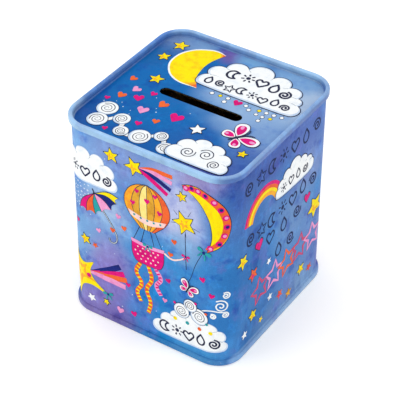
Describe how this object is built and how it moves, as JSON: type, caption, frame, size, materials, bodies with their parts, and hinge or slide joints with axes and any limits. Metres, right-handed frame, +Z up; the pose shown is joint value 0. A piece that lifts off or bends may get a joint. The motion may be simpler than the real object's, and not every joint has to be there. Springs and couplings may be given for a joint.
{
  "type": "tin money box",
  "caption": "Square printed tinplate money box with rounded corners, a coin slot in its sunken lid panel and a push-in stopper under its base.",
  "frame": {"origin": "centre of the foot ring, on the surface that the tin stands on", "axes": "+Z up, -Y towards the front wall, +X to the right seen from the front, the lock seam on the +Y wall"},
  "size_m": [0.0804, 0.0824, 0.096],
  "materials": {
    "wall_print": "gloss",
    "lid_print": "gloss",
    "base_lacquer": "satin",
    "stopper_plastic": "satin"
  },
  "bodies": {
    "tin": {"body_shell": "wall_print", "top_end": "lid_print", "base_plate": "base_lacquer"},
    "stopper": {"base_stopper": "stopper_plastic"}
  },
  "joints": [
    {"name": "stopper_pull", "type": "slide", "parent": "tin", "child": "stopper", "axis": [0, 0, -1], "range_m": [0, 0.03]}
  ]
}
